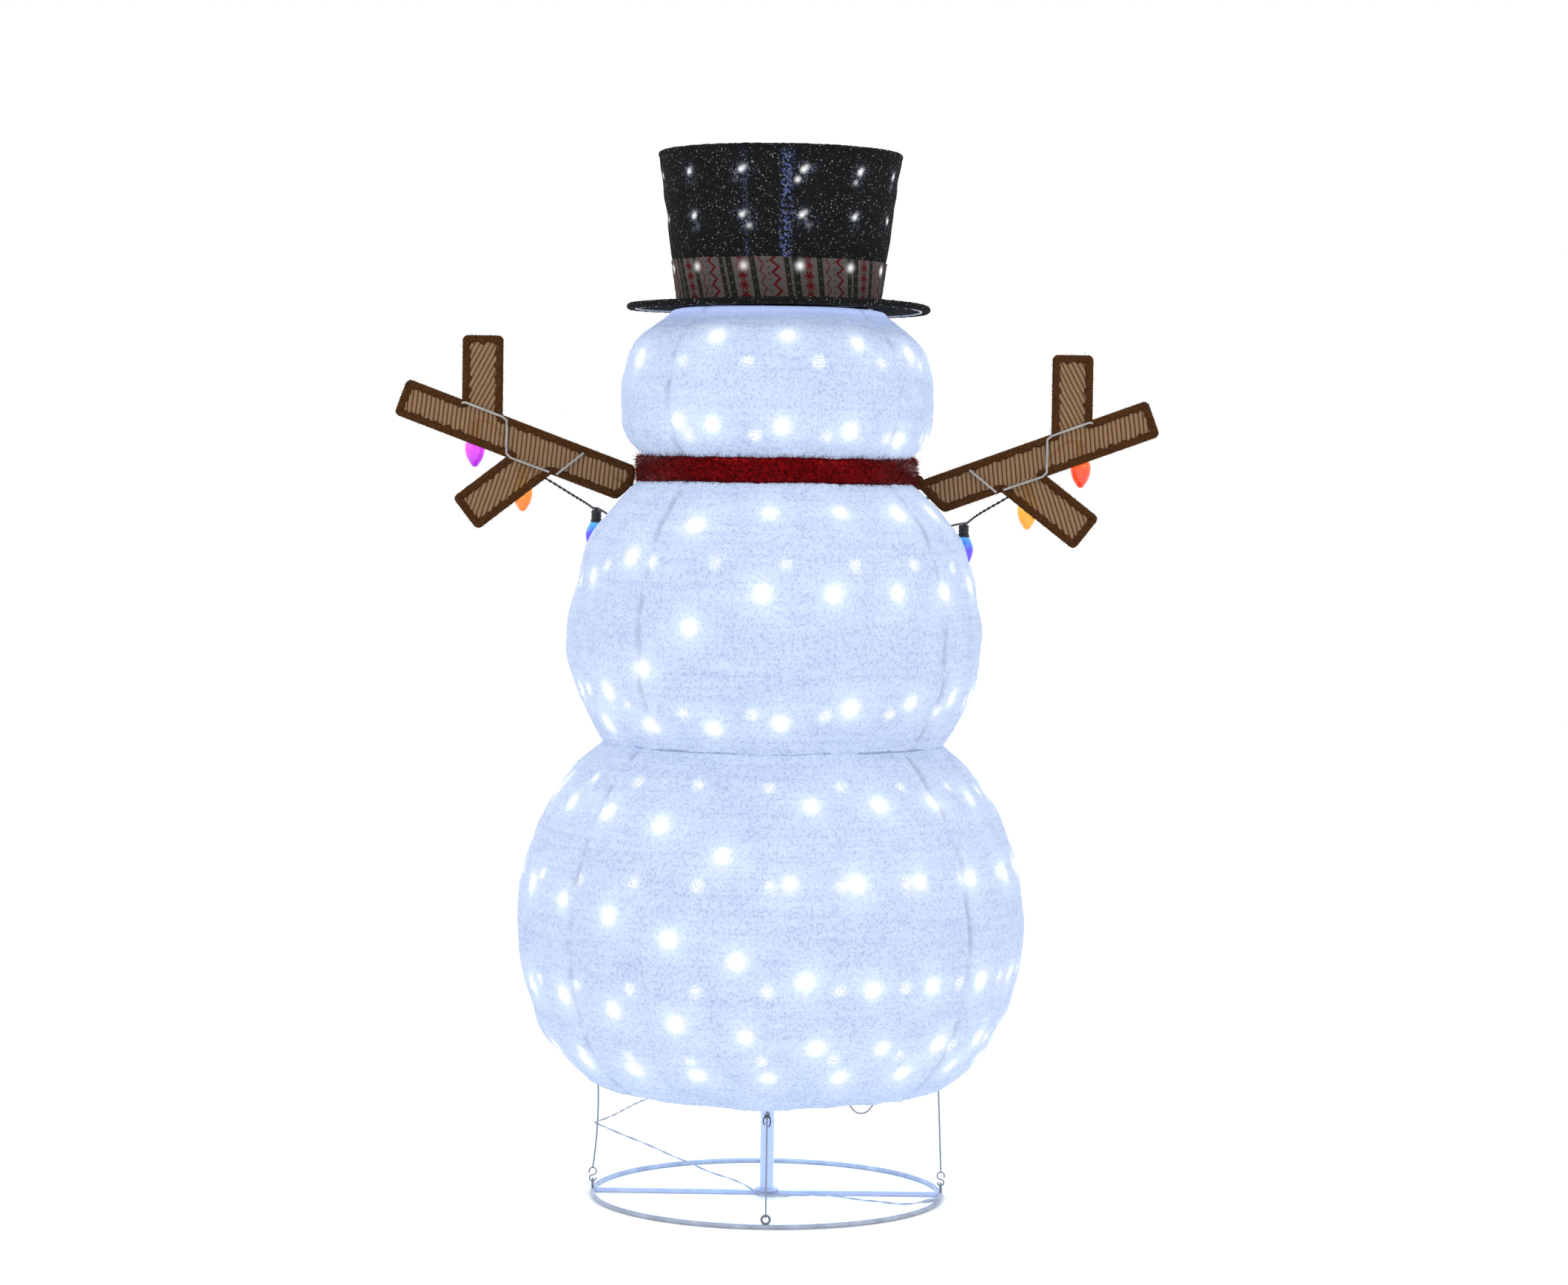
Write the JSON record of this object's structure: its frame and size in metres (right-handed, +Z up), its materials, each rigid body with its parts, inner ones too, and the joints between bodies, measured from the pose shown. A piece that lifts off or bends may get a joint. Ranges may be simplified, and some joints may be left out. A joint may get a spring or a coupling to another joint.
{
  "type": "light-up yard snowman",
  "caption": "Free-standing light-up plush snowman on a wire ring stand, with a top hat, scarf, forked arms and a string of coloured bulbs.",
  "frame": {"origin": "on the ground under the mast, at the centre of the base ring's underside", "axes": "+Z up along the mast; the face looks along +Y and the back along -Y; the arms spread along X"},
  "size_m": [1.117, 0.742, 1.524],
  "materials": {
    "white_steel": "gloss white powder coat",
    "zinc_steel": "bright zinc",
    "spring_wire": "white coated",
    "mast_steel": "gloss white",
    "collar_plastic": "white",
    "plush": "white sherpa plush, lit from inside",
    "cloth": "white lining cloth",
    "lamp": "clear lamp on white wire, lit",
    "cord": "white braided cord",
    "lead": "white flexible insulation",
    "tinsel": "red metallic tinsel",
    "coal": "black felt",
    "carrot": "orange felt",
    "arm_wire": "white coated wire",
    "arm_mesh": "brown open mesh",
    "dark_plastic": "black",
    "bulb": "coloured, lit",
    "black_cable": "black twisted pair",
    "hat_cloth": "black glitter mesh",
    "band_cloth": "patterned woven band"
  },
  "bodies": {
    "root": {"base_ring": "white_steel", "cross_bar": "white_steel", "pole_socket": "white_steel", "ring_eyes": "white_steel", "s_hooks": "zinc_steel", "lower_tube": "mast_steel", "hem_hoop": "spring_wire", "lower_hoops": "spring_wire", "lower_cover": "plush", "lower_lights": "lamp", "tie_cord_front": "cord", "tie_cord_back": "cord", "tie_cord_left": "cord", "tie_cord_right": "cord", "hem_draw_loop": "cord", "power_lead": "lead", "lead_sleeve": "lead", "lead_connector": "lead"},
    "lower_grip": {"lower_collar": "collar_plastic"},
    "mid_mast": {"mid_tube": "mast_steel"},
    "upper_grip": {"upper_collar": "collar_plastic"},
    "waist": {"waist_hoop": "spring_wire", "middle_hoops": "spring_wire", "middle_cover": "plush", "middle_lights": "lamp", "coat_buttons": "coal"},
    "neck": {"neck_hoop": "spring_wire", "arm_sockets": "white_steel", "head_hoops": "spring_wire", "head_cover": "plush", "head_lights": "lamp", "scarf": "tinsel", "scarf_knot": "tinsel", "scarf_tails": "tinsel", "coal_eyes": "coal", "coal_mouth": "coal", "carrot_nose": "carrot", "swag_wire": "black_cable", "swag_sockets": "dark_plastic", "swag_bulbs": "bulb"},
    "crown": {"upper_tube": "mast_steel", "crown_spider": "spring_wire", "crown_plug": "collar_plastic", "head_cap": "cloth"},
    "hat": {"hat_brim": "hat_cloth", "hat_crown": "hat_cloth", "hat_top": "hat_cloth", "hat_band": "band_cloth", "hat_frame": "spring_wire", "hat_lights": "lamp"},
    "left_arm": {"left_arm_frame": "arm_wire", "left_arm_mesh": "arm_mesh", "left_arm_sockets": "dark_plastic", "left_arm_bulbs": "bulb", "left_arm_wire": "black_cable"},
    "right_arm": {"right_arm_frame": "arm_wire", "right_arm_mesh": "arm_mesh", "right_arm_sockets": "dark_plastic", "right_arm_bulbs": "bulb", "right_arm_wire": "black_cable"}
  },
  "joints": [
    {"name": "collapse_mast", "type": "slide", "parent": "root", "child": "crown", "axis": [0, 0, -1], "range_m": [0, 0.76], "deforming": ["head_cover", "head_hoops", "head_lights", "coal_eyes", "coal_mouth", "carrot_nose"]},
    {"name": "neck_drop", "type": "slide", "parent": "root", "child": "neck", "axis": [0, 0, -1], "range_m": [0, 0.612], "deforming": ["middle_cover", "middle_hoops", "middle_lights", "coat_buttons"]},
    {"name": "waist_drop", "type": "slide", "parent": "root", "child": "waist", "axis": [0, 0, -1], "range_m": [0, 0.347], "deforming": ["lower_cover", "lower_hoops", "lower_lights"]},
    {"name": "mid_tube_slide", "type": "slide", "parent": "root", "child": "mid_mast", "axis": [0, 0, -1], "range_m": [0, 0.39]},
    {"name": "grip_twist_lower", "type": "hinge", "parent": "root", "child": "lower_grip", "pos_m": [0, 0, 0.44], "axis": [0, 0, 1], "range_deg": [0, 90]},
    {"name": "grip_twist_upper", "type": "hinge", "parent": "mid_mast", "child": "upper_grip", "pos_m": [0, 0, 0.87], "axis": [0, 0, 1], "range_deg": [0, 90]},
    {"name": "hat_lift", "type": "slide", "parent": "crown", "child": "hat", "axis": [0, 0, 1], "range_m": [0, 0.15]},
    {"name": "arm_pull_left", "type": "slide", "parent": "neck", "child": "left_arm", "axis": [-0.9382, 0, 0.3461], "range_m": [0, 0.08]},
    {"name": "arm_pull_right", "type": "slide", "parent": "neck", "child": "right_arm", "axis": [0.9382, 0, 0.3461], "range_m": [0, 0.08]}
  ],
  "couplings": [
    {"joint": "neck_drop", "follows": "collapse_mast", "ratio": 0.80526},
    {"joint": "waist_drop", "follows": "collapse_mast", "ratio": 0.45658},
    {"joint": "mid_tube_slide", "follows": "collapse_mast", "ratio": 0.51316}
  ]
}
